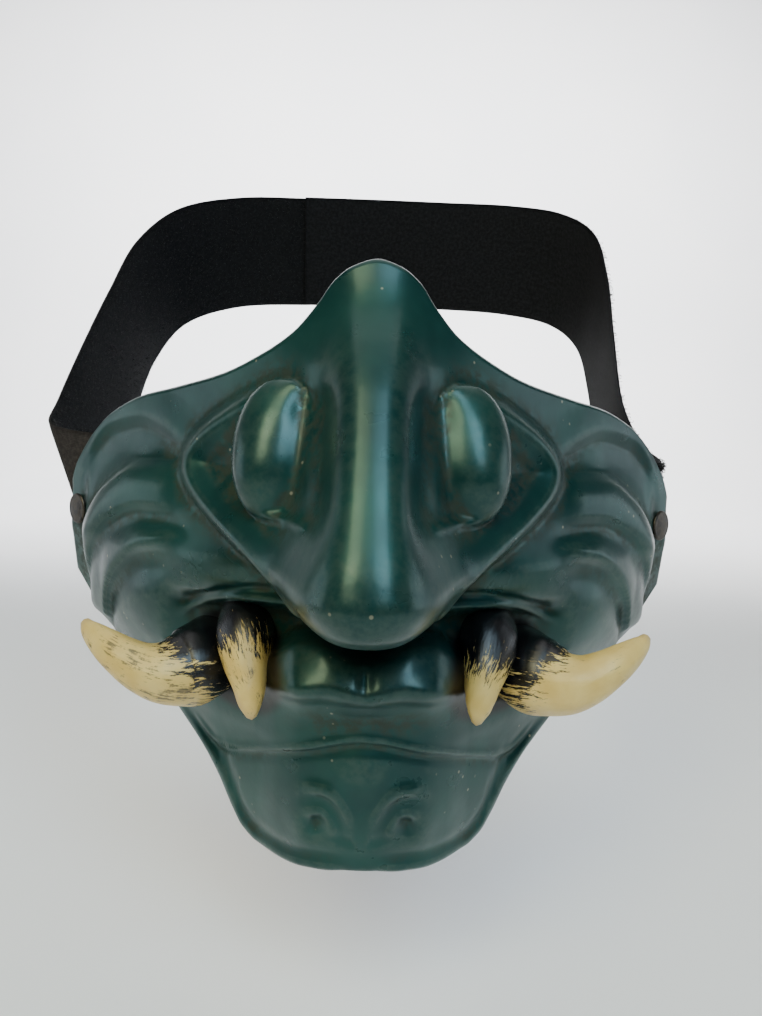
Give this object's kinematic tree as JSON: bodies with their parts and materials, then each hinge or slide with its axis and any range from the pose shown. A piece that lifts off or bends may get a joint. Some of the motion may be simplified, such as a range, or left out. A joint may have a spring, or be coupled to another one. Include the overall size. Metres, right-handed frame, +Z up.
{
  "type": "samurai face guard",
  "caption": "Half-face demon guard with heavy nose, rimmed domes, cheek folds, tusks and fangs, worn by a riveted hook-and-loop head strap.",
  "frame": {"origin": "inside of the shell at the top of the nose, where it sits on the bridge of the wearer's nose", "axes": "+Z up as worn, the face looks along -Y, +X to the viewer's right"},
  "size_m": [0.2069, 0.2716, 0.2178],
  "materials": {
    "shell_paint": "dark teal-green pearly paint, semi-gloss, dusty in the crevices",
    "tooth_enamel": "pale yellow enamel brushed into glossy black at the roots",
    "rivet_metal": "dark gunmetal, worn paler at the edge",
    "loop_tape": "black loop pile inside, smooth grey-brown weave outside",
    "hook_tape": "black hooks outside, smooth weave inside"
  },
  "bodies": {
    "root": {"mask_shell": "shell_paint", "tusk_left": "tooth_enamel", "fang_left": "tooth_enamel", "rivet_left": "rivet_metal", "tusk_right": "tooth_enamel", "fang_right": "tooth_enamel", "rivet_right": "rivet_metal", "strap_left": "loop_tape", "strap_right": "hook_tape"}
  },
  "joints": []
}
